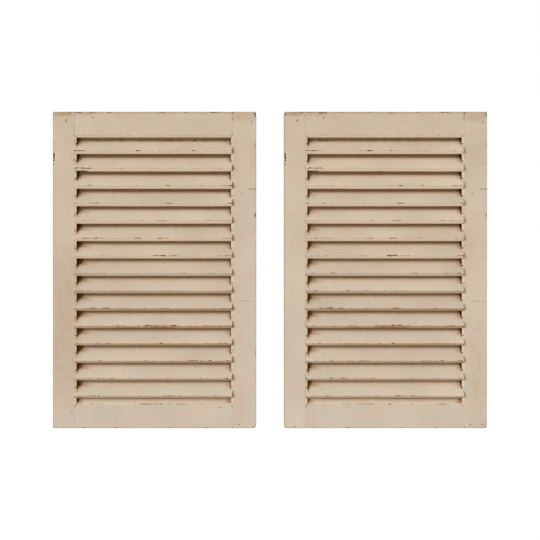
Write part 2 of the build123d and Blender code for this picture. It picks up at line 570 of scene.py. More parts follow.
@dataclass(frozen=True)
class Stain:
    """A place on the front that hands or damp have soiled, with soft edges.

    Args:
        x: Its middle, from the left edge.
        z: Its middle, from the lower edge.
        width: Its size across.
        height: Its size up.
        grime_and_shade: How dirty its middle is.
    """

    x: float
    z: float
    width: float
    height: float
    grime_and_shade: float

    def share(self, point: Vector) -> float:
        """How soiled a place on the front is by it.

        Args:
            point: The place.

        Returns:
            Grime, from 0 to that of its middle.
        """
        if point.y > 12:
            return 0.0
        across, up = (point.x - self.x) / (self.width / 2), (point.z - self.z) / (self.height / 2)
        return self.grime_and_shade * ease(1.2 - (across ** 4 + up ** 4) ** 0.25)


@dataclass(frozen=True)
class Gouge:
    """A nick, dash, crack or nail hole cut into the front of the frame.

    Args:
        x: Its middle, from the left edge.
        z: Its middle, from the lower edge.
        length: Its size along its own direction.
        width: Its size across that.
        turn: Degrees from level, turning left.
        depth: How deep it goes.
    """

    x: float
    z: float
    length: float
    width: float
    turn: float = 0.0
    depth: float = 1.2

    def holds(self, point: Vector) -> bool:
        """Whether a point lies within the cut, seen from the front.

        Args:
            point: The place, on the cut surface.

        Returns:
            True on the cut's walls and for a little way round it.
        """
        angle = math.radians(self.turn)
        away = Vector((point.x - self.x, point.z - self.z))
        along = away.x * math.cos(angle) + away.y * math.sin(angle)
        across = away.y * math.cos(angle) - away.x * math.sin(angle)
        return abs(along) < self.length * 0.6 and abs(across) < self.width * 0.75

    def cutter(self) -> bmesh.types.BMesh:
        """A pointed, slightly ragged form that cuts the pit.

        Returns:
            The closed form.
        """
        tool = bmesh.new()
        angle = math.radians(self.turn)
        rings = []
        for y, share in ((-2.0, 1.15), (0.0, 1.0), (self.depth * 0.6, 0.7), (self.depth, 0.3)):
            ring = []
            for k in range(12):
                a = 2 * math.pi * k / 12
                ragged = 1 + 0.3 * noise.noise(Vector((self.x, self.z, a)))
                along = self.length / 2 * share * ragged * math.cos(a)
                across = self.width / 2 * share * ragged * math.sin(a)
                x = self.x + along * math.cos(angle) - across * math.sin(angle)
                z = self.z + along * math.sin(angle) + across * math.cos(angle)
                ring.append(tool.verts.new((x, y, z)))
            rings.append(ring)
        close_rings(tool, rings)
        return tool


NOSE_CHIPS: dict[int, tuple[Chip, ...]] = {
    1: (Chip(42.5, 66, Loss.BARE, 1.6), Chip(163.5, 174.5, Loss.BARE, 1.8), Chip(186, 188),
        Chip(194, 216), Chip(272.5, 282.5), Chip(330, 354, Loss.SCUFFED)),
    2: (Chip(44, 78, Loss.WORN, 2.2), Chip(119, 121.5, Loss.BARE), Chip(204.5, 207, Loss.BARE),
        Chip(322.5, 325.5)),
    3: (Chip(44, 105, Loss.SCUFFED), Chip(165, 168), Chip(197, 199.5), Chip(223.5, 233.5, Loss.BARE),
        Chip(268.5, 277), Chip(331, 354, Loss.WORN, 1.6)),
    4: (Chip(44, 49, Loss.BARE), Chip(70, 98), Chip(177, 180), Chip(221, 237.5, Loss.BARE),
        Chip(312.5, 315.5), Chip(345, 354, Loss.BARE)),
    5: (Chip(170, 177), Chip(207.5, 229.5), Chip(300, 351, Loss.WORN, 1.1)),
    6: (Chip(58, 98, Loss.WORN, 1.6), Chip(156.5, 176.5), Chip(207.5, 223.5, Loss.BARE),
        Chip(283, 286), Chip(337, 354)),
    7: (Chip(74, 104, Loss.SCUFFED), Chip(159, 162), Chip(201.5, 223.5, Loss.BARE, 1.8),
        Chip(227.5, 247.5), Chip(339.5, 354, Loss.WORN, 1.8)),
    8: (Chip(55, 57.5, Loss.BARE), Chip(91.5, 107.5), Chip(247, 263), Chip(308, 320),
        Chip(337.5, 348)),
    9: (Chip(46, 78), Chip(121, 133), Chip(152.5, 172.5), Chip(219.5, 239.5), Chip(311, 313.5),
        Chip(339.5, 351.5)),
    10: (Chip(62, 66), Chip(69, 118, Loss.WORN, 2.0), Chip(209.5, 229.5), Chip(322.5, 325.5),
         Chip(345.5, 351.5)),
    11: (Chip(55, 58, Loss.BARE), Chip(97, 100, Loss.BARE), Chip(125, 145),
         Chip(178, 245.5, Loss.WORN, 2.4), Chip(186, 208, Loss.BARE, 1.0), Chip(294, 354, Loss.WORN, 1.2)),
    12: (Chip(55, 58, Loss.BARE), Chip(66, 69, Loss.BARE), Chip(74, 76), Chip(83, 86), Chip(107, 110),
         Chip(211.5, 218, Loss.BARE), Chip(261.5, 264.5, Loss.BARE), Chip(300, 322), Chip(340, 343.5)),
    13: (Chip(62.5, 65.5, Loss.BARE), Chip(92, 96, Loss.BARE, 1.8), Chip(127, 172.5, Loss.SCUFFED),
         Chip(266.5, 288.5), Chip(306, 314, Loss.BARE), Chip(341.5, 351.5, Loss.BARE)),
    14: (Chip(91, 95, Loss.BARE, 1.6), Chip(111, 123.5), Chip(237, 240), Chip(291, 294, Loss.BARE),
         Chip(339.5, 348)),
    15: (Chip(83.5, 87, Loss.BARE, 1.4), Chip(90, 94, Loss.BARE, 1.6), Chip(182.5, 186, Loss.BARE),
         Chip(215.5, 257.5), Chip(281, 284)),
}
UNDERNOSE_CHIPS: dict[int, tuple[Chip, ...]] = {
    2: (Chip(46, 68.5, Loss.BARE, 1.8), Chip(191.5, 194.5, Loss.BARE, 1.5)),
    11: (Chip(125, 172, Loss.WORN, 1.5), Chip(176, 243, Loss.WORN, 4.2)),
}
SILL_CHIPS = (
    Chip(47, 350, Loss.SCUFFED, 0.5),
    Chip(158.5, 218, Loss.WORN, 0.9),
    Chip(247, 257, reach=0.6),
    Chip(302, 322, reach=0.6),
)
FRAME_PATCHES = (
    Patch(3.0, 617.5, 5, 7, Loss.SCUFFED, 0.6),
    Patch(34, 621.4, 9, 3.4),
    Patch(52, 621.4, 16, 3.0),
    Patch(77, 621.2, 20, 3.4),
    Patch(112, 621.8, 10, 2.4),
    Patch(170, 621.4, 5, 3.0),
    Patch(214, 621.8, 14, 2.6),
    Patch(262, 621.4, 6, 3.0),
    Patch(318, 621.4, 18, 3.0),
    Patch(354, 621.0, 6, 4.0, depth=0.3),
    Patch(2.8, 536, 3.4, 13, Loss.BARE, 0.5),
    Patch(2.8, 526, 2.8, 4, Loss.BARE, 0.4),
    Patch(2.4, 519, 2.6, 4, Loss.BARE, 0.4),
    *(Patch(0.8, z, 2.2, height, Loss.SCUFFED, 0.3)
      for z, height in ((571, 7), (468, 9), (352, 12), (211, 8), (96, 10))),
    Patch(397.5, 618.5, 4, 5, Loss.WORN, 0.8),
    Patch(399.0, 616.5, 2.4, 9, Loss.BARE, 0.6),
    Patch(398.4, 556, 3.4, 11, Loss.SCUFFED, 0.3),
    Patch(398.6, 419, 3.0, 10, Loss.WORN, 0.3),
    Patch(399.0, 296, 2.2, 12, Loss.SCUFFED, 0.3),
    Patch(399.0, 150, 2.2, 8, Loss.SCUFFED, 0.3),
    Patch(23, 3.5, 6, 4, Loss.WORN, 0.5),
    Patch(398, 4, 5, 7, Loss.WORN, 0.6),
    Patch(232, 1.0, 12, 2.0, Loss.WORN, 0.4),
    Patch(130, 1.0, 18, 1.8, Loss.WORN, 0.4),
    Patch(60, 1.0, 10, 1.6, Loss.WORN, 0.3),
    Patch(300, 1.0, 9, 1.8, Loss.WORN, 0.3),
)
FRAME_GOUGES = (
    Gouge(26.0, 605.5, 8.0, 1.5, 62),
    Gouge(78.3, 611.6, 2.6, 3.2),
    Gouge(391.3, 602.7, 2.4, 2.8),
    Gouge(390.4, 520.7, 2.0, 2.0),
    Gouge(388.6, 470.9, 3.4, 2.2),
    Gouge(371.5, 462.2, 2.4, 2.0),
    Gouge(380.5, 250.3, 30, 0.4, 1.0, 0.4),
    Gouge(396.2, 470.9, 5.4, 2.0, 0, 0.9),
    Gouge(366.8, 7.5, 2.6, 2.4),
    Gouge(42.5, 614, 12, 0.3, 90, 0.4),
    Gouge(354.7, 611, 14, 0.4, 90, 0.6),
    Gouge(354.7, 3, 5, 0.8, 90, 0.8),
)
MITRE_CRACKS = (
    Gouge(44.8, 44.7, 7.8, 1.1, 54, 3.2),
    Gouge(352.2, 44.7, 7.8, 0.9, 126, 3.2),
    Gouge(44.8, 574.6, 6.6, 0.6, 130, 3.2),
    Gouge(352.2, 574.6, 6.6, 0.6, 50, 3.2),
)
SECOND_NAIL_HOLE = Gouge(390.4, 7.5, 2.6, 2.4)
STAINS = (
    Stain(21, 619, 44, 12, 0.6),
    Stain(376, 614, 60, 26, 0.3),
    Stain(64, 620, 52, 8, 0.35),
    Stain(330, 621, 60, 6, 0.3),
    # A band along the top edge, darker towards it: partly dirt and partly painted shade of the rounded
    # arris.
    Stain(200, 623, 400, 11, 0.32),
    Stain(400, 500, 5, 200, 0.2),
)
HANDLED = Stain(24, 205, 80, 330, 0.29)
LEANED_ON = Stain(382, 100, 52, 300, 0.14)


# Boards


@dataclass(frozen=True)
class SlatForm:
    """The tilted section that all slats share and that their housings follow, seen from the side.

    Args:
        tilt: Its lean from level, in radians.
        proud: How far the nose stands in front of the frame.
        thickness: Its thickness.
        brad_rise: Height of the brads above the nose arris.
        brad_half: Half of a brad's thickness, with its clearance.
        brad_tip: Depth to which the brads go.
    """

    tilt: float = math.radians(54)
    proud: float = 6.0
    thickness: float = 9.5
    brad_rise: float = 15.0
    brad_half: float = 0.85
    brad_tip: float = 19.7

    def climb(self, depth: float) -> float:
        """Height that the slope gains over a depth."""
        return depth * math.tan(self.tilt)

    def outline(self, arris: float, back: float, grow: float = 0.0) -> Outline:
        """Corners of a slat or its housing.

        Args:
            arris: Height of the nose arris.
            back: Depth at which it ends.
            grow: Clearance all round.

        Returns:
            The nose's upper and lower corner, then the lower and upper one at the back.
        """
        cos, sin = math.cos(self.tilt), math.sin(self.tilt)
        points = []
        for offset, ahead in ((grow, True), (-self.thickness - grow, True),
                              (-self.thickness - grow, False), (grow, False)):
            y, z = -self.proud - offset * sin, arris + offset * cos
            run = -grow if ahead else (back + grow - y) / cos
            points.append((y + run * cos, z + run * sin))
        return points

    def read(self, point: Vector, arris: float) -> tuple[float, float]:
        """Reads a point along the slope.

        Args:
            point: The place.
            arris: Height of the nose arris.

        Returns:
            How far up the slope it lies from that arris, and how far below the upper face.
        """
        ahead, up = point.y + self.proud, point.z - arris
        cos, sin = math.cos(self.tilt), math.sin(self.tilt)
        return ahead * cos + up * sin, ahead * sin - up * cos

    def brad_outline(self, x: float, arris: float) -> Outline:
        """Outline, from the front, of the hole for one brad."""
        level, half = arris + self.brad_rise, self.brad_half
        return [(x - half, level - half), (x + half, level - half),
                (x + half, level + half), (x - half, level + half)]


class Section(Enum):
    """The plane that an outline is drawn in, by its two axes. The form runs along the third."""

    SIDE = (1, 2, 0)
    FRONT = (0, 2, 1)
    PLAN = (0, 1, 2)

    def place(self, u: float, v: float, s: float) -> Vector:
        """A point from its two drawn coordinates and its place along the form.

        Args:
            u: First drawn coordinate.
            v: Second drawn coordinate.
            s: Place along the form.

        Returns:
            The point.
        """
        point = Vector((0.0, 0.0, 0.0))
        for axis, value in zip(self.value, (u, v, s)):
            point[axis] = value
        return point

    def read(self, point: Vector) -> tuple[float, float, float]:
        """The two drawn coordinates of a point, and its place along the form."""
        return point[self.value[0]], point[self.value[1]], point[self.value[2]]


def close_rings(mesh: bmesh.types.BMesh, rings: list[list[bmesh.types.BMVert]]) -> None:
    """Skins a row of rings into a closed form with its normals outwards.

    Args:
        mesh: The mesh that holds the rings.
        rings: Rings of equally many vertices, in order.
    """
    count = len(rings[0])
    faces = [mesh.faces.new(rings[0]), mesh.faces.new(rings[-1])]
    for low, high in zip(rings, rings[1:]):
        for i in range(count):
            k = (i + 1) % count
            faces.append(mesh.faces.new((low[i], low[k], high[k], high[i])))
    bmesh.ops.recalc_face_normals(mesh, faces=faces)
    outward = sum(face.calc_center_median().dot(face.normal) * face.calc_area() for face in faces)
    if outward < 0:
        bmesh.ops.reverse_faces(mesh, faces=faces)


def add_prism(mesh: bmesh.types.BMesh, section: Section, outline: Outline, start: float,
              end: float) -> None:
    """Adds a straight closed form to a cutting mesh.

    Args:
        mesh: The cutting mesh.
        section: The plane that the outline is drawn in.
        outline: Its corners.
        start: Where the form begins, along the third axis.
        end: Where it ends.
    """
    rings = [[mesh.verts.new(section.place(u, v, s)) for u, v in outline] for s in (start, end)]
    close_rings(mesh, rings)


@dataclass(frozen=True)
class Corner:
    """One corner of a board's section.

    Args:
        u: First coordinate.
        v: Second coordinate.
        radius: How round it is.
        worn: True where chips sit, so that the mesh is close there.
    """

    u: float
    v: float
    radius: float = 0.6
    worn: bool = False

    @property
    def point(self) -> Vector:
        """The sharp corner as a vector."""
        return Vector((self.u, self.v))


@dataclass
class Surface:
    """What weather has done at a point of a board's surface.

    Args:
        sink: How far the surface lies below the sound one.
        wear: How far the paint is gone, from 0 to 1.
        grime_and_shade: How dirty it is, and how much shade is painted on it, from 0 to 1.
        tone: Dull at 0, plain at 0.5, pale at 1; it carries random variation and painted light and shade.
    """

    sink: float = 0.0
    wear: float = 0.0
    grime_and_shade: float = 0.0
    tone: float = 0.5

    def lose(self, loss: Loss, share: float, depth: float) -> None:
        """Wears the point as far as a chip or patch has it, unless it is worn further already.

        Args:
            loss: How far the paint is gone there.
            share: How much of the chip or patch there is. Nothing happens at 0.
            depth: How deep the surface is broken, below what it has sunk already.
        """
        if share > 0:
            self.wear = max(self.wear, loss.value * share)
            self.sink = max(self.sink, (depth + self.sink) * share)

    def soil_and_shade(self, *shares: float) -> None:
        """Darkens the point with dirt and painted shade as far as the largest share, unless it is darker
        already.
        """
        self.grime_and_shade = max(self.grime_and_shade, *shares)


@dataclass
class Board:
    """A planed and painted board: a convex section carried along its length.

    Args:
        node: The CAD node that it stands for.
        origin: The shutter's lower left front corner, in the row frame.
        paint: Its material.
        start: Where it begins along its length, in the shutter's millimetres.
        end: Where it ends.
        corners: Its section, turning left.
        slot: Name of its material slot. Not used here.
        section: The plane of its section.
        seed: Moves its noise.
        step: How far apart its rings of vertices are.
        wide_step: The widest gap between vertices across a flat.
        end_radius: How round its ends are.
        close_steps: Distances of the vertices beside a worn corner.
        plain_steps: The same beside a corner that isn't worn.
        end_rings: Distances of further rings near its ends.
        stains: Soiled places on the shutter.
        fray: Size of the noise that frays the edges of worn places.
        rub: How wide its rubbed arrises are.
        chip_limit: Distance from an arris beyond which nothing is chipped.
        edges: A point on each side of the section, with the side's outward normal.
    """

    node: str
    origin: Vector
    paint: bpy.types.Material
    start: float
    end: float
    corners: list[Corner]
    slot: str = "frame_paint"
    section: Section = Section.SIDE
    seed: float = 0.0
    step: float = 2.0
    wide_step: float = 6.0
    end_radius: float = 0.6
    close_steps: tuple[float, ...] = (0.5, 1.1, 1.8, 2.8, 4.4)
    plain_steps: tuple[float, ...] = (2.0,)
    end_rings: tuple[float, ...] = ()
    stains: tuple[Stain, ...] = STAINS
    fray: float = 5.0
    rub: float = 1.2
    chip_limit: float = 5.0
    edges: list[tuple[Vector, Vector]] = field(default_factory=list)

    def __post_init__(self) -> None:
        """Works out the section's edges and their outward normals."""
        points = [corner.point for corner in self.corners]
        for here, following in zip(points, points[1:] + points[:1]):
            along = (following - here).normalized()
            self.edges.append((here, Vector((along.y, -along.x))))

    def depth(self, u: float, v: float) -> float:
        """How deep a point lies inside the section."""
        place = Vector((u, v))
        return min((here - place).dot(outward) for here, outward in self.edges)

    def outline(self) -> list[Vector]:
        """Samples the section, closely beside worn corners and widely elsewhere.

        Returns:
            Points in order, turning left.
        """
        points: list[Vector] = []
        count = len(self.corners)
        for i, corner in enumerate(self.corners):
            here, following = corner.point, self.corners[(i + 1) % count]
            arriving = (here - self.corners[i - 1].point).normalized()
            leaving = (following.point - here).normalized()
            cut = corner.radius * math.tan(arriving.angle(leaving) / 2)
            first, last = here - arriving * cut, here + leaving * cut
            arc = 4 if corner.worn else 2
            for k in range(arc + 1):
                t = k / arc
                points.append(first * (1 - t) ** 2 + here * 2 * t * (1 - t) + last * t * t)
            points += self.flat(last, following, leaving, corner.worn)
        return points

    def flat(self, start: Vector, following: Corner, along: Vector, worn: bool) -> list[Vector]:
        """Samples the flat between two rounded corners.

        Args:
            start: Where it begins.
            following: The corner that it runs to.
            along: Its direction.
            worn: Whether the corner behind it is worn.

        Returns:
            Points inside it, in order.
        """
        length = (following.point - start).dot(along) - following.radius
        rising, falling = [
            [s for s in (self.close_steps if close else self.plain_steps) if s < length / 2]
            for close in (worn, following.worn)
        ]
        low = rising[-1] if rising else 0.0
        high = length - (falling[-1] if falling else 0.0)
        count = max(1, math.ceil((high - low) / self.wide_step))
        middle = [low + (high - low) * k / count for k in range(1, count)]
        return [start + along * s for s in rising + middle + [length - s for s in reversed(falling)]]

    def stations(self) -> list[tuple[float, float]]:
        """Places rings of vertices along the board.

        Returns:
            Each ring's place, with how far the section draws in there.
        """
        radius, length = self.end_radius, self.end - self.start
        turns = (0.0, 0.52, 1.05)
        ends = [(radius - radius * math.cos(a), radius - radius * math.sin(a)) for a in turns]
        ends += [(s, 0.0) for s in (radius, *self.end_rings)]
        low = ends[-1][0]
        count = math.ceil((length - 2 * low) / self.step)
        middle = [(low + (length - 2 * low) * k / count, 0.0) for k in range(1, count)]
        places = ends + middle + [(length - s, inset) for s, inset in reversed(ends)]
        return [(self.start + s, inset) for s, inset in places]

    def skin(self) -> bpy.types.Object:
        """Builds the sound board.

        Returns:
            A closed mesh in the shutter's millimetres.
        """
        outline = self.outline()
        count = len(outline)
        outward = []
        for i in range(count):
            along = (outline[(i + 1) % count] - outline[i - 1]).normalized()
            outward.append(Vector((along.y, -along.x)))
        mesh = bmesh.new()
        rings = []
        for s, inset in self.stations():
            drawn = [p - n * inset for p, n in zip(outline, outward)]
            rings.append([mesh.verts.new(self.section.place(p.x, p.y, s)) for p in drawn])
        close_rings(mesh, rings)
        made = bpy.data.meshes.new(self.node + "_skin")
        mesh.to_mesh(made)
        mesh.free()
        board = bpy.data.objects.new("dressed_" + self.node, made)
        bpy.context.scene.collection.objects.link(board)
        return board

    def combine(self, board: bpy.types.Object, tool: bmesh.types.BMesh,
                operation: str = "DIFFERENCE") -> None:
        """Cuts closed forms out of the board, or joins them to it.

        Args:
            board: The board, in the shutter's millimetres.
            tool: Closed forms that don't cross each other. It is used up.
            operation: DIFFERENCE to cut, or UNION to join.
        """
        made = bpy.data.meshes.new(self.node + "_tool")
        tool.to_mesh(made)
        tool.free()
        holder = bpy.data.objects.new(made.name, made)
        bpy.context.scene.collection.objects.link(holder)
        modifier = board.modifiers.new("joinery", "BOOLEAN")
        modifier.object = holder
        modifier.operation = operation
        modifier.solver = "MANIFOLD"
        graph = bpy.context.evaluated_depsgraph_get()
        result = bpy.data.meshes.new_from_object(board.evaluated_get(graph))
        board.modifiers.clear()
        board.data = result
        bpy.data.objects.remove(holder)

    def shape(self, board: bpy.types.Object) -> None:
        """Cuts joints and gouges. A plain board has none."""

    def surface(self, point: Vector, normal: Vector) -> Surface:
        """What weather has done at a point. Each kind of board has its own wear."""
        raise NotImplementedError

    def ragged(self, point: Vector) -> float:
        """Noise between about -1 and 1 that frays chips and rubbed arrises."""
        return ripple(point, self.fray, self.seed + 2)

    def weather(self, board: bpy.types.Object) -> None:
        """Wears the mesh, stores wear, dirt with painted shade, and tone with painted light on its points
        and moves it to the row frame.

        Args:
            board: The board, in the shutter's millimetres.
        """
        mesh = board.data
        normals = [v.normal.copy() for v in mesh.vertices]
        colours: list[float] = []
        for vertex, normal in zip(mesh.vertices, normals):
            state = self.surface(vertex.co, normal)
            vertex.co -= normal * state.sink
            colours += [clamp(state.wear), clamp(state.grime_and_shade), clamp(state.tone), 1.0]
        store = mesh.attributes.new(FINISH, "FLOAT_COLOR", "POINT")
        store.data.foreach_set("color", colours)
        mesh.transform(Matrix.Translation(self.origin) @ Matrix.Scale(MM, 4))
        mesh.update()

    def dress(self) -> bpy.types.Object:
        """Builds, cuts and wears the board, and hands it over as its node's stand-in.

        Returns:
            The finished board.
        """
        board = self.skin()
        self.shape(board)
        self.weather(board)
        board.data.materials.clear()
        board.data.materials.append(self.paint)
        for face in board.data.polygons:
            face.use_smooth = True
        board.data.set_sharp_from_angle(angle=math.radians(32))
        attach(board, "root")
        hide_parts(self.node)
        LOG.info("%s: %d faces", board.name, len(board.data.polygons))
        return board


@dataclass
class Slat(Board):
    """A tilted slat: a square nose in front, housed at both ends.

    Args:
        arris: Height of its nose arris.
        chips: Chips along that arris.
        under: Chips along the nose's lower arris.
        cast: How much duller or paler it is than its neighbours.
        nose: From -1, a nose painted browner, partly dirt and partly painted shade, to 1, one painted paler
            as painted light.
        brads: Where its brads go through, from the shutter's left edge.
        dirt: How wide the dark strips against the left and the right stile are, partly packed dirt and
            partly painted shade.
        housed: How far its ends reach into the stiles.
        shade_and_soot: How dark the part under the next nose is painted: painted shadow, partly sooty.
        dirt_line: How far up the slope a line of dirt lies, if there is one.
        form: Its section.
        plain: Tone of a slat without a cast.
        bow: How far its nose wanders.
        nose_run: How far up the slope the nose reaches.
        shade_and_soot_from: How far up the slope that painted shadow begins.
        dirt_and_shade_from: How far up the slope the dark strips and the painted shadow beside the left and
            the right stile begin.
        corner_shadow_from: How far up the slope the painted shadow in the left corner begins.
        pale_height: Height from which up the painted shadow in the left corners is only half as dark.
    """

    arris: float = 0.0
    chips: tuple[Chip, ...] = ()
    under: tuple[Chip, ...] = ()
    cast: float = 0.0
    nose: float = 0.0
    brads: tuple[float, ...] = ()
    dirt: tuple[float, float] = (2.0, 2.0)
    housed: float = 4.2
    shade_and_soot: float = 0.7
    dirt_line: float | None = None
    form: SlatForm = SlatForm()
    plain: float = 0.585
    bow: float = 0.25
    nose_run: float = 3.0
    shade_and_soot_from: float = 21.5
    dirt_and_shade_from: tuple[float, float] = (11.0, 14.0)
    corner_shadow_from: float = 8.0
    pale_height: float = 480.0

    def shape(self, board: bpy.types.Object) -> None:
        """Cuts the two brad holes.

        Args:
            board: The board, in the shutter's millimetres.
        """
        tool = bmesh.new()
        ahead = self.form.proud + 2 * OVERSHOOT
        for x in self.brads:
            outline = self.form.brad_outline(x, self.arris)
            add_prism(tool, Section.FRONT, outline, -ahead, self.form.brad_tip)
        self.combine(board, tool)

    def surface(self, point: Vector, normal: Vector) -> Surface:
        """Chipped noses, dirt and painted shade in the hollows and at the ends, painted light and shade on
        the noses, and a little warp.

        Args:
            point: A place on the sound board.
            normal: The surface's direction there.

        Returns:
            Its state.
        """
        climb, sunk = self.form.read(point, self.arris)
        state = Surface(tone=self.plain + self.cast + 0.14 * ripple(point, 70, self.seed))
        state.sink = 0.06 * (1 + ripple(point, 24, self.seed + 5))
        if climb < self.nose_run:
            bow = self.bow * (1 + ripple(Vector((point.x, 0, 0)), 90, self.seed + 9))
            state.sink += bow * clamp((self.nose_run - climb) / self.nose_run)
        ragged = self.ragged(point)
        near = math.hypot(climb, sunk)
        below = math.hypot(climb, sunk - self.form.thickness)
        state.wear = (0.38 + 0.26 * ragged) * ease(1.6 - near / self.rub)
        state.wear = max(state.wear, (0.3 + 0.24 * ragged) * ease(1.5 - below / self.rub))
        for chips, distance in ((self.chips, near), (self.under, below)):
            for chip in chips if distance <= self.chip_limit else ():
                deep = 0.45 if chip.loss is Loss.BARE else 0.25
                state.lose(chip.loss, chip.share(point.x, distance, ragged), deep)
        self.soil_and_shade_faces(state, point, climb, sunk)
        self.soil_and_shade_ends(state, point, climb, sunk)
        self.soil_right_joint(state, point, climb)
        return state

    def soil_and_shade_faces(self, state: Surface, point: Vector, climb: float, sunk: float) -> None:
        """Paints shadow under the next nose and on the faces behind, partly sooty, and light and shade on
        the noses, partly dirt; adds stains.

        Args:
            state: The point's state.
            point: The place.
            climb: How far up the slope it lies.
            sunk: How far below the upper face.
        """
        # Painted shadow under the next nose, partly sooty; the faces behind and below get a flat painted
        # shade, partly dirt.
        state.grime_and_shade = self.shade_and_soot * ease((climb - self.shade_and_soot_from) / 13) if sunk < 1 else 0.4
        ragged = self.ragged(point)
        if self.dirt_line and sunk < 1:
            line = ease(1.6 - abs(climb - self.dirt_line) / 1.3)
            state.soil_and_shade((0.75 + 0.3 * ragged) * line)
        # On the nose: the upper noses are painted paler as painted light, the lower ones browner, partly
        # painted shade and partly dirt.
        on_nose = climb < 1.2 and 0.8 < sunk < self.form.thickness + 0.5
        if on_nose:
            browned = max(-self.nose, 0.0) * (0.6 + 0.4 * ease((point.x - 60) / 90))
            state.tone += 0.42 * max(self.nose, 0.0)
            state.grime_and_shade = (0.56 + 0.14 * ragged) * browned
        state.soil_and_shade(*(stain.share(point) for stain in self.stains))

    def soil_and_shade_ends(self, state: Surface, point: Vector, climb: float, sunk: float) -> None:
        """Darkens a strip against each stile, partly packed dirt and partly painted shade, spreads a
        painted shadow inwards from it, and paints the shadow in the left corner, weaker high up.

        Args:
            state: The point's state.
            point: The place.
            climb: How far up the slope it lies.
            sunk: How far below the upper face.
        """
        reaches = point.x - self.start, self.end - point.x
        for reach, width, first in zip(reaches, self.dirt, self.dirt_and_shade_from):
            inside = reach - self.housed
            # A dark strip against the stile: partly packed dirt, partly painted shade.
            packed = 0.93 * ease((width - inside) / 1.6 + 0.5) * ease((inside + 0.9) / 0.5)
            # Painted shadow of the stile, spreading in over the slat's face.
            spreading_shadow = 0.7 * ease((climb - first + 1) / 13) * ease(1.1 - inside / 13)
            state.soil_and_shade(packed * ease((climb - first) / 4), spreading_shadow)
        # Painted shadow of the left stile in the left corner, half as dark high up.
        if sunk < 1 and climb > self.corner_shadow_from:
            inside = max(reaches[0] - self.housed, 0.0)
            lean = 0.03 * (21 - min(climb, 24)) + 0.013 * inside * max(21 - climb, 0.0)
            shaded = 0.5 + 0.5 * ease((self.pale_height - self.arris) / 150)
            corner = (1.05 - 0.036 * inside - lean) * shaded
            state.soil_and_shade(min(corner, 0.88) * ease(reaches[0] - self.housed + 1.4))

    def soil_right_joint(self, state: Surface, point: Vector, climb: float) -> None:
        """Draws the dark joint along the right housing, and soils the nose beside it.

        Args:
            state: The point's state.
            point: The place.
            climb: How far up the slope it lies.
        """
        from_right = self.end - point.x
        chamfer = CHAMFER_DEPTH * min(1.0, (from_right - self.housed) / STILE_CHAMFER + 1)
        if from_right < self.housed + 0.3:
            near_nose = climb < self.dirt_and_shade_from[0]
            state.soil_and_shade(0.85 * ease(1.3 - from_right / 1.5) if near_nose
                       else 0.9 * ease(1.4 - (chamfer - point.y) / 0.9))
        if climb < 4:
            state.soil_and_shade(0.42 * ease(1.3 - from_right / 3.5))


@dataclass
class FrameBoard(Board):
    """A stile or rail, with the worn patches and gouges of the frame's front.

    Args:
        patches: Worn places.
        gouges: Nicks, cracks and nail holes.
        edge_shade: How wide the painted shade along the outer edges is.
    """

    patches: tuple[Patch, ...] = FRAME_PATCHES
    gouges: tuple[Gouge, ...] = FRAME_GOUGES
    edge_shade: float = 1.8

    def cut_gouges(self, board: bpy.types.Object, low: Vector, high: Vector) -> None:
        """Cuts the gouges whose middle lies in a part of the front.

        Args:
            board: The board, in the shutter's millimetres.
            low: The part's lower left corner, as x and z.
            high: Its upper right corner.
        """
        for gouge in self.gouges:
            if low.x <= gouge.x <= high.x and low.y <= gouge.z <= high.y:
                self.combine(board, gouge.cutter())

    def surface(self, point: Vector, normal: Vector) -> Surface:
        """Uneven old paint, rubbed arrises, painted shade along the outer edges and the frame's own marks.

        Args:
            point: A place on the sound board, or on a joint's wall.
            normal: The surface's direction there.

        Returns:
            Its state.
        """
        u, v, _ = self.section.read(point)
        depth = self.depth(u, v)
        if depth > 0.1 and point.y < 2 and any(gouge.holds(point) for gouge in self.gouges):
            return Surface(wear=1.0, grime_and_shade=0.6)
        if depth > 0.5:
            return self.joint_face(point)
        state = Surface(tone=0.5 + 0.14 * ripple(point, 95, self.seed))
        state.sink = 0.1 * (1 + ripple(point, 60, self.seed + 4)) + 0.04 * (1 + ripple(point, 13, 3.0))
        near = min((Vector((u, v)) - c.point).length for c in self.corners if c.worn)
        state.wear = (0.34 + 0.28 * self.ragged(point)) * ease(1.5 - near / self.rub)
        state.grime_and_shade = max(stain.share(point) for stain in self.stains)
        edge = min(point.x, point.z, SHUTTER_HEIGHT - point.z)
        # Painted shade along the left, lower and upper edges.
        if point.y < 3:
            state.tone -= 0.55 * ease(1.4 - edge / self.edge_shade)
        for patch in self.patches:
            state.lose(patch.loss, patch.share(point), patch.depth)
        return state

    def joint_face(self, point: Vector) -> Surface:
        """The walls of joints, never painted and long soiled."""
        return Surface(grime_and_shade=0.8, tone=0.2)


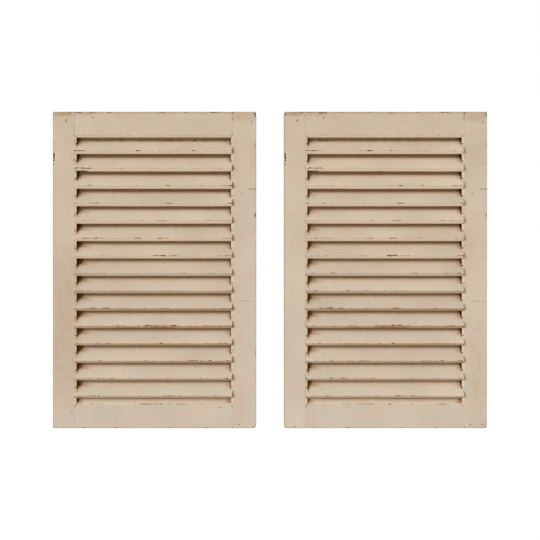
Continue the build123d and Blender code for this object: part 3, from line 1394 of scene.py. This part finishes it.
@dataclass
class Rail(FrameBoard):
    """A rail between the stiles, with its through tenons.

    Args:
        tenon: Lowest and highest level of the tenons.
        chips: Chips along the arris where the chamfer meets the slope behind it.
        sill: Whether it is the bottom rail, whose slope faces up.
    """

    tenon: tuple[float, float] = (0.0, 0.0)
    chips: tuple[Chip, ...] = ()
    sill: bool = False

    def shape(self, board: bpy.types.Object) -> None:
        """Joins the tenons and cuts the gouges.

        Args:
            board: The board, in the shutter's millimetres.
        """
        tool = bmesh.new()
        low, high = self.tenon
        outline = [(TENON_FRONT, low), (TENON_BACK, low), (TENON_BACK, high), (TENON_FRONT, high)]
        add_prism(tool, Section.SIDE, outline, 0.0, SHUTTER_WIDTH)
        self.combine(board, tool, "UNION")
        heights = [corner.v for corner in self.corners]
        self.cut_gouges(board, Vector((self.start, min(heights))), Vector((self.end, max(heights))))

    def surface(self, point: Vector, normal: Vector) -> Surface:
        """The frame's wear, chips on the inner arris, a sill slope painted paler as painted light, and
        painted shade, partly dirt, at the sill's ends, under the lowest nose and on slopes deep in the
        louvre.

        Args:
            point: A place on the sound board, or on a joint's wall.
            normal: The surface's direction there.

        Returns:
            Its state.
        """
        if not self.start - 0.05 <= point.x <= self.end + 0.05:
            return Surface(wear=0.38, tone=0.4)
        state = super().surface(point, normal)
        arris = self.corners[3 if self.sill else 1]
        near = math.hypot(point.y - arris.u, point.z - arris.v)
        for chip in self.chips if near < self.chip_limit else ():
            state.lose(chip.loss, chip.share(point.x, near, self.ragged(point)), 0.2)
        if self.sill and 1.5 < point.y < 9:
            # The sill slope is painted paler as painted light, with painted shade, partly dirt, at its ends
            # and under the lowest nose.
            state.tone = 0.7
            state.wear = max(state.wear, 0.49 * ease(1.4 - near / 0.9))
            from_end = min(point.x - self.start, self.end - point.x) - STILE_CHAMFER
            darkened = 0.8 * ease((point.y - 1) / 4) * ease(1.15 - from_end / 15)
            state.soil_and_shade(darkened, 0.5 * ease((point.y - 3.5) / 4))
        # Painted shade, partly dirt, on the slopes deep in the louvre.
        if normal.y < 0.7 and abs(normal.z) > 0.3:
            state.soil_and_shade(0.6 * ease((point.y - 8) / 14))
        return state

    def joint_face(self, point: Vector) -> Surface:
        """The rail's ends, soiled where they meet the stiles."""
        return Surface(grime_and_shade=0.7, tone=0.3)


@dataclass
class Stile(FrameBoard):
    """A full-height stile with its housings, rail seats, mortises and brad holes.

    Args:
        shoulder: Where the rails stop.
        inner: Where the stile ends, behind its chamfer.
        outer: The shutter's edge on this side.
        arrises: Heights of the slats' nose arrises.
        seats: Outlines of the rails that sit against it.
        tenons: Lowest and highest level of each tenon.
        corner_radii: Radius of its lower and upper outer corner.
        form: The slats' section.
        slat_back: Depth at which the slats end.
        wedge_length: How far the wedges reach in from the edge.
        wedge_head: How thick they are at the edge.
        through: How far in from the edge the mortises are cut, which is past the stile.
        shadow_smudged_below: Height below which the painted shadow beside each nose has its dark core.
    """

    shoulder: float = 42.6
    inner: float = 47.0
    outer: float = 0.0
    arrises: list[float] = field(default_factory=list)
    seats: list[Outline] = field(default_factory=list)
    tenons: tuple[tuple[float, float], ...] = ()
    corner_radii: tuple[float, float] = (2.0, 2.0)
    form: SlatForm = SlatForm()
    slat_back: float = 26.5
    wedge_length: float = 30.0
    wedge_head: float = 4.0
    through: float = 50.0
    shadow_smudged_below: float = 320.0

    @property
    def side(self) -> int:
        """1 on the left stile, whose wood lies to the right of its outer edge, and -1 on the right one."""
        return 1 if self.inner > self.outer else -1

    def shape(self, board: bpy.types.Object) -> None:
        """Cuts housings and seats, then mortises, brad holes, rounded corners and gouges.

        Args:
            board: The board, in the shutter's millimetres.
        """
        beyond = 2 * OVERSHOOT
        lip = sorted((self.shoulder, self.inner + self.side * beyond))
        grooves, mortises, holes = bmesh.new(), bmesh.new(), bmesh.new()
        housings = [self.form.outline(arris, self.slat_back, CLEARANCE) for arris in self.arrises]
        for outline in self.seats + housings:
            add_prism(grooves, Section.SIDE, outline, *lip)
        flare = self.wedge_head * (1 + beyond / self.wedge_length)
        for low, high in self.tenons:
            low, high = low - CLEARANCE, high + CLEARANCE
            outline = [(-beyond, low - flare), (self.wedge_length, low), (self.through, low),
                       (self.through, high), (self.wedge_length, high), (-beyond, high + flare)]
            drawn = [(self.outer + self.side * x, z) for x, z in outline]
            add_prism(mortises, Section.FRONT, drawn, TENON_FRONT - CLEARANCE, TENON_BACK + CLEARANCE)
        middle = (self.shoulder + self.inner) / 2
        for arris in self.arrises:
            outline = self.form.brad_outline(middle, arris)
            add_prism(holes, Section.FRONT, outline, -OVERSHOOT, self.form.brad_tip)
        for tool in (grooves, mortises, holes, self.corner_tool()):
            self.combine(board, tool)
        edges = sorted((self.outer, self.inner))
        self.cut_gouges(board, Vector((edges[0], 0)), Vector((edges[1], self.end)))

    def corner_tool(self) -> bmesh.types.BMesh:
        """Draws what rounding the two outer corners takes off, seen from the front.

        Returns:
            Two closed forms.
        """
        tool = bmesh.new()
        low, high = self.corner_radii
        for radius, level, up in ((low, self.start, 1), (high, self.end, -1)):
            drawn = [(-OVERSHOOT, -OVERSHOOT), (radius, -OVERSHOOT)]
            for k in range(7):
                angle = math.pi / 2 * k / 6
                drawn.append((radius - radius * math.sin(angle), radius - radius * math.cos(angle)))
            drawn.append((-OVERSHOOT, radius))
            outline = [(self.outer + self.side * x, level + up * z) for x, z in drawn]
            add_prism(tool, Section.FRONT, outline, -OVERSHOOT, THICKNESS + OVERSHOOT)
        return tool

    def surface(self, point: Vector, normal: Vector) -> Surface:
        """The frame's wear, worn ends, chamfers with painted light and shade, and the dark faces behind
        them, partly dirt and partly painted shade.

        Args:
            point: A place on the sound board, or on a joint's wall.
            normal: The surface's direction there.

        Returns:
            Its state.
        """
        state = super().surface(point, normal)
        to_end = math.hypot(min(point.z, self.end - point.z), point.y)
        if to_end < 3:
            rubbed = (0.34 + 0.28 * ripple(point, self.fray, self.seed)) * ease(1.5 - to_end / self.rub)
            state.wear = max(state.wear, rubbed)
        inside = abs(point.x - self.outer) - abs(self.shoulder - self.outer)
        behind_chamfer = inside > STILE_CHAMFER - 0.2 and point.y > CHAMFER_DEPTH - 0.1
        on_chamfer = 0.2 < inside < 4.6 and point.y < 2.3
        if behind_chamfer:
            # Faces behind the chamfer: dark, partly dirt and partly painted shade, lighter towards the
            # back.
            state.grime_and_shade = 1 - 0.6 * ease((point.y - 16) / 8)
        elif on_chamfer:
            self.soil_and_shade_chamfer(state, point, inside)
        elif -8 < inside <= 0.2 and point.y < 1:
            self.shadow_smudge_face(state, point, inside)
        return state

    def soil_and_shade_chamfer(self, state: Surface, point: Vector, inside: float) -> None:
        """Paints the left chamfer paler as painted light, wears it all over, darkens its inner side with
        painted shade, partly dirt, most on the left, and dirties it round the brads.

        Args:
            state: The point's state.
            point: The place.
            inside: How far in from the shoulder it lies.
        """
        left = self.side > 0
        # The left chamfer painted pale as painted light; the right one stays plain.
        state.tone = 0.88 if left else 0.55
        state.wear = max(state.wear, 0.3 + 0.3 * ripple(point, 3, self.seed))
        across = inside - STILE_CHAMFER / 2
        nail = min(math.hypot(across, point.z - arris - self.form.brad_rise) for arris in self.arrises)
        # Painted shade, partly dirt, along the inner side, and dirt round the brads.
        darkened = (0.75 if left else 0.3) * ease((inside - 2.6) / 1.2)
        state.soil_and_shade(darkened, 0.4 * ease(2.1 - nail / 1.3))

    def shadow_smudge_face(self, state: Surface, point: Vector, inside: float) -> None:
        """Paints a brown shadow, with a little dirt, on the stile's face beside each nose, mostly on the
        right stile.

        Args:
            state: The point's state.
            point: The place.
            inside: How far in from the shoulder it lies, which is negative here.
        """
        beside = min(abs(point.z - arris - 0.5) for arris in self.arrises)
        # Painted shadow of each nose on the stile's face; its dark core only low down.
        core = 0.3 if point.z < self.shadow_smudged_below else 0.05
        shadow_smudge = 0.2 * clamp(1 + inside / 8) + core * ease(1 + inside / 1.8)
        state.soil_and_shade(shadow_smudge * ease(1.8 - beside / 5) * (0.25 if self.side > 0 else 1.0))


# Assemblies


@dataclass
class Shutter:
    """One shutter: two stiles, two rails and fifteen slats, with its wedges and brads.

    Args:
        name: The first words of its nodes' names.
        finishes: Materials by the kind of board.
        gouges: The frame's nicks and nail holes.
        head_chamfer: Width of the chamfer on the top rail.
        sill_chamfer: Its width on the bottom rail.
        tenon_cover: Wood between a tenon and the rail's slope.
        tenon_margin: Wood between a tenon and the shutter's end.
        form: The slats' section.
        dirt: Widths of the dark strips at the slats' left and right ends, partly dirt and partly painted
            shade.
        stains: Soiled places on the frame.
        slat_count: How many slats there are.
    """

    name: str
    finishes: dict[str, bpy.types.Material]
    gouges: tuple[Gouge, ...] = FRAME_GOUGES
    head_chamfer: float = 5.2
    sill_chamfer: float = 6.0
    tenon_cover: float = 4.0
    tenon_margin: float = 10.0
    form: SlatForm = SlatForm()
    dirt: tuple[float, float] = (2.0, 2.0)
    stains: tuple[Stain, ...] = STAINS
    slat_count: int = 15

    def __post_init__(self) -> None:
        """Reads the shutter's place and sizes from the frame."""
        self.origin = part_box(self.name + "_left_stile")[0]
        low, high = self.span("right_stile")
        self.width, self.height, self.right_inner = high.x, high.z, low.x
        self.left_inner = self.span("left_stile")[1].x
        self.sill = self.span("bottom_rail")[1].z - self.form.climb(THICKNESS - CHAMFER_DEPTH)
        self.head = self.span("top_rail")[0].z
        under = self.sill + self.form.climb(TENON_FRONT - CHAMFER_DEPTH) - self.tenon_cover
        over = self.head + self.form.climb(TENON_BACK - CHAMFER_DEPTH) + self.tenon_cover
        self.tenons = (self.tenon_margin, under), (over, self.height - self.tenon_margin)

    def span(self, piece: str) -> tuple[Vector, Vector]:
        """Lowest and highest corner of a node, in the shutter's millimetres."""
        low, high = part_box(f"{self.name}_{piece}")
        return (low - self.origin) / MM, (high - self.origin) / MM

    def rail_outlines(self) -> dict[str, Outline]:
        """Draws the sections of the two rails, from the side.

        Returns:
            The outlines by piece.
        """
        back, deep, sill, head = THICKNESS, CHAMFER_DEPTH, self.sill, self.head
        rise = self.form.climb(back - deep)
        return {
            "bottom_rail": [(0, 0), (back, 0), (back, sill + rise), (deep, sill),
                            (0, sill - self.sill_chamfer)],
            "top_rail": [(0, head + self.head_chamfer), (deep, head), (back, head + rise),
                         (back, self.height), (0, self.height)],
        }

    def rails(self) -> list[Rail]:
        """Sets up both rails.

        Returns:
            The bottom rail and the top rail.
        """
        made = []
        reach = STILE_CHAMFER - 0.02
        shoulders = self.left_inner - reach, self.right_inner + reach
        for (piece, outline), tenon in zip(self.rail_outlines().items(), self.tenons):
            corners = [Corner(u, v, 0.5, u < 5) for u, v in outline]
            lowest = piece == "bottom_rail"
            made.append(Rail(
                f"{self.name}_{piece}", self.origin, self.finishes["rail"], *shoulders, corners,
                seed=self.origin.x * 7 + tenon[0], end_radius=0.05, gouges=self.gouges,
                stains=self.stains, tenon=tenon, sill=lowest, chips=SILL_CHIPS if lowest else ()))
        return made

    def stiles(self) -> list[Stile]:
        """Sets up both stiles.

        Returns:
            The left stile and the right stile.
        """
        made = []
        chamfer, deep, back = STILE_CHAMFER, CHAMFER_DEPTH, THICKNESS
        left, right = self.left_inner, self.right_inner
        plans = {
            "left_stile": [(0, 0), (left - chamfer, 0), (left, deep), (left, back), (0, back)],
            "right_stile": [(right + chamfer, 0), (self.width, 0), (self.width, back), (right, back),
                            (right, deep)],
        }
        for piece, plan in plans.items():
            outer, inner = (0.0, left) if piece == "left_stile" else (self.width, right)
            corners = [Corner(u, v, 0.7, v < 5) for u, v in plan]
            made.append(Stile(
                f"{self.name}_{piece}", self.origin, self.finishes["stile"], 0.0, self.height, corners,
                section=Section.PLAN, seed=self.origin.x * 7 + outer, step=2.2, end_radius=0.8,
                end_rings=(1.4, 2.2, 3.2), close_steps=(0.3, 0.7, 1.2, 1.8, 2.8, 4.4),
                gouges=self.gouges, stains=self.stains, inner=inner, outer=outer,
                shoulder=inner - chamfer if outer == 0 else inner + chamfer,
                arrises=[self.arris(number) for number in range(1, self.slat_count + 1)],
                seats=list(self.rail_outlines().values()), tenons=self.tenons,
                corner_radii=(3.0, 3.0) if outer == 0 else (5.0, 3.0)))
        return made

    def arris(self, number: int) -> float:
        """Height of a slat's nose arris."""
        high = self.span(f"slat_{number:02d}")[1]
        return high.z - self.form.climb(high.y + self.form.proud)

    def slats(self) -> list[Slat]:
        """Sets up the slats.

        Returns:
            The fifteen slats, from the highest to the lowest.
        """
        made = []
        rounding = ((0.9, True), (0.6, True), (0.8, False), (0.8, False))
        brads = self.left_inner - STILE_CHAMFER / 2, self.right_inner + STILE_CHAMFER / 2
        for number in range(1, self.slat_count + 1):
            piece = f"slat_{number:02d}"
            low, high = self.span(piece)
            arris = self.arris(number)
            corners = [Corner(u, v, radius, worn) for (u, v), (radius, worn)
                       in zip(self.form.outline(arris, high.y), rounding)]
            uneven = 0.1 * noise.noise(Vector((number * 1.7, 0.3, 0.9)))
            made.append(Slat(
                f"{self.name}_{piece}", self.origin, self.finishes["slat"], low.x, high.x, corners,
                slot="slat_paint", seed=self.origin.x * 7 + number * 3.1, arris=arris,
                chips=NOSE_CHIPS[number], under=UNDERNOSE_CHIPS.get(number, ()), brads=brads,
                cast=uneven + 0.05 * ease((7 - number) / 4),
                # The upper noses painted paler and the lower ones browner: painted light and shade, partly
                # dirt.
                nose=1 - 2 * ease((number - 6.5) / 3.5) + 0.18 * max(0.0, number - 12.5),
                dirt=self.dirt, stains=self.stains,
                shade_and_soot=0.7 if number > 1 else 0.5, dirt_line=27.5 if number == 1 else None,
                end_rings=(2.2, 3.6, 4.2, 4.8, 5.6, 6.6, 7.8)))
        return made

    def build(self) -> None:
        """Dresses every piece of the shutter."""
        for board in [*self.stiles(), *self.rails(), *self.slats()]:
            board.dress()
        for piece, finish in (("tenon_wedges", "wedge"), ("slat_brads", "brad")):
            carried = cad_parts[f"{self.name}_{piece}"]
            carried.data.materials.clear()
            carried.data.materials.append(self.finishes[finish])
            LOG.info("%s: CAD solid with %s", carried.name, self.finishes[finish].name)


@dataclass
class Studio:
    """White surroundings, a soft key lamp from the left and a camera straight in front.

    Args:
        middle: The middle of the pair.
        face: Depth at which the frames' front faces stand.
        distance: From the camera to those faces, in metres.
        view_width: Width of the picture there, in metres.
        sensor: Width of the camera's sensor.
        ambient: Light from all round, where 1 is a white room.
        bounce: Colour of that light.
        floor_drop: How far below the pair the floor lies, in metres.
        floor_glow: How brightly the camera sees the floor.
    """

    middle: Vector
    face: float
    distance: float = 1.1
    view_width: float = 1.06245
    sensor: float = 36.0
    ambient: float = 0.37
    bounce: str = "FFF6EC"
    floor_drop: float = 1.0
    floor_glow: float = 1.6

    def towards(self, azimuth: float, elevation: float) -> Vector:
        """Direction from the pair to a lamp, in degrees right of the camera and above the horizon."""
        a, e = math.radians(azimuth), math.radians(elevation)
        return Vector((math.sin(a) * math.cos(e), -math.cos(a) * math.cos(e), math.sin(e)))

    def key_lamp(self, azimuth: float, elevation: float, spread: float, share: float) -> None:
        """Adds the main lamp, far enough off to light the whole pair evenly.

        Args:
            azimuth: Degrees to the right of the camera.
            elevation: Degrees above the horizon.
            spread: Degrees that it covers as seen from the pair, which softens its shadows.
            share: Light that it gives a surface that faces it, where 1 renders a colour as written.
        """
        light = bpy.data.lights.new("key_lamp", "SUN")
        light.angle = math.radians(spread)
        light.energy = share * math.pi
        self.hang(light, azimuth, elevation, 6.0)

    def low_fill(self, azimuth: float, elevation: float, distance: float, size: float,
                 share: float) -> None:
        """Adds a wide soft lamp from in front and below, which opens the shade under the noses.

        Args:
            azimuth: Degrees to the right of the camera.
            elevation: Degrees above the horizon.
            distance: From the middle of the pair, in metres.
            size: Its side in metres.
            share: Light that it gives a surface that faces it, where 1 renders a colour as written.
        """
        light = bpy.data.lights.new("low_fill", "AREA")
        light.size = size
        light.energy = share * math.pi ** 2 * distance ** 2
        self.hang(light, azimuth, elevation, distance)

    def hang(self, light: bpy.types.Light, azimuth: float, elevation: float, distance: float) -> None:
        """Puts a lamp in its place, looking at the middle of the pair.

        Args:
            light: The lamp's data.
            azimuth: Degrees to the right of the camera.
            elevation: Degrees above the horizon.
            distance: From the middle of the pair, in metres.
        """
        lamp = bpy.data.objects.new(light.name, light)
        towards = self.towards(azimuth, elevation)
        lamp.location = self.middle + towards * distance
        lamp.rotation_mode = "QUATERNION"
        lamp.rotation_quaternion = towards.to_track_quat("Z", "Y")
        bpy.context.scene.collection.objects.link(lamp)

    def camera(self) -> None:
        """Adds the camera, level with the middle of the pair and square to it."""
        data = bpy.data.cameras.new("front_camera")
        data.sensor_width = self.sensor
        data.lens = self.sensor * self.distance / self.view_width
        holder = bpy.data.objects.new("front_camera", data)
        holder.location = (self.middle.x, self.face - self.distance, self.middle.z)
        holder.rotation_euler = (math.pi / 2, 0, 0)
        bpy.context.scene.collection.objects.link(holder)
        bpy.context.scene.camera = holder

    def world(self) -> None:
        """Even light from all round, seen as white by the camera and in reflections."""
        world = bpy.data.worlds.new("white_room")
        world.use_nodes = True
        bpy.context.scene.world = world
        tree = world.node_tree
        back = tree.nodes["Background"]
        back.inputs["Color"].default_value = (1, 1, 1, 1)
        warm = add_node(tree, "Mix", {6: linear(self.bounce), 7: (1, 1, 1, 1)}, data_type="RGBA")
        path = add_node(tree, "LightPath").outputs
        seen = path["Is Camera Ray"]
        for ray in ("Is Glossy Ray", "Is Transmission Ray"):
            seen = add_node(tree, "Math", {0: seen, 1: path[ray]}, operation="MAXIMUM").outputs[0]
        strength = add_node(tree, "MapRange", {"Value": seen, "To Min": self.ambient, "To Max": 1.0})
        tree.links.new(seen, warm.inputs[0])
        tree.links.new(warm.outputs[2], back.inputs["Color"])
        tree.links.new(strength.outputs[0], back.inputs["Strength"])

    def floor(self) -> None:
        """A wide white floor well below the hanging pair, which takes its shadow."""
        mesh = bmesh.new()
        bmesh.ops.create_grid(mesh, x_segments=8, y_segments=8, size=40.0)
        made = bpy.data.meshes.new("studio_floor")
        mesh.to_mesh(made)
        mesh.free()
        floor = bpy.data.objects.new("studio_floor", made)
        floor.location = (0, 0, -self.floor_drop)
        bpy.context.scene.collection.objects.link(floor)
        material = bpy.data.materials.new("white_studio_floor")
        material.use_nodes = True
        tree = material.node_tree
        tree.nodes.remove(tree.nodes["Principled BSDF"])
        path = add_node(tree, "LightPath").outputs
        matt = add_node(tree, "BsdfDiffuse", {"Color": linear("F2F2F2")})
        glow = add_node(tree, "Emission", {"Color": (1, 1, 1, 1), "Strength": self.floor_glow})
        share = add_node(tree, "Math", {0: path["Is Camera Ray"], 1: 0.5}, operation="MULTIPLY")
        mixed = add_node(tree, "MixShader", {0: share.outputs[0], 1: matt.outputs[0],
                                             2: glow.outputs[0]})
        tree.links.new(mixed.outputs[0], tree.nodes["Material Output"].inputs["Surface"])
        made.materials.append(material)

    def build(self) -> None:
        """Sets up lamps, world, floor and camera."""
        self.key_lamp(azimuth=-44, elevation=23, spread=18, share=0.58)
        self.low_fill(azimuth=6, elevation=-22, distance=2.2, size=0.9, share=0.15)
        self.world()
        self.floor()
        self.camera()
        bpy.context.scene.view_settings.view_transform = "Standard"


def main() -> None:
    """Builds the finishes, the two shutters and the studio, in that order."""
    logging.basicConfig(level=logging.INFO, format="%(name)s: %(message)s")
    finishes = {
        "stile": OldPaint("painted_stile", Grain.UPRIGHT).material(),
        "rail": OldPaint("painted_rail", Grain.LEVEL).material(),
        "slat": OldPaint("painted_slat", Grain.LEVEL).material(),
        "wedge": PineEndGrain().material(),
        "brad": RustedIron().material(),
    }
    marks = FRAME_GOUGES + MITRE_CRACKS
    shutters = (
        Shutter("left_shutter", finishes, marks, dirt=(1.2, 2.8), stains=(*STAINS, HANDLED)),
        Shutter("right_shutter", finishes, marks + (SECOND_NAIL_HOLE,), dirt=(3.2, 1.2),
                stains=(*STAINS, LEANED_ON)),
    )
    for shutter in shutters:
        shutter.build()
    low, high = CAD_BOX
    Studio((low + high) / 2, shutters[0].origin.y).build()


if __name__ == "__main__":
    main()
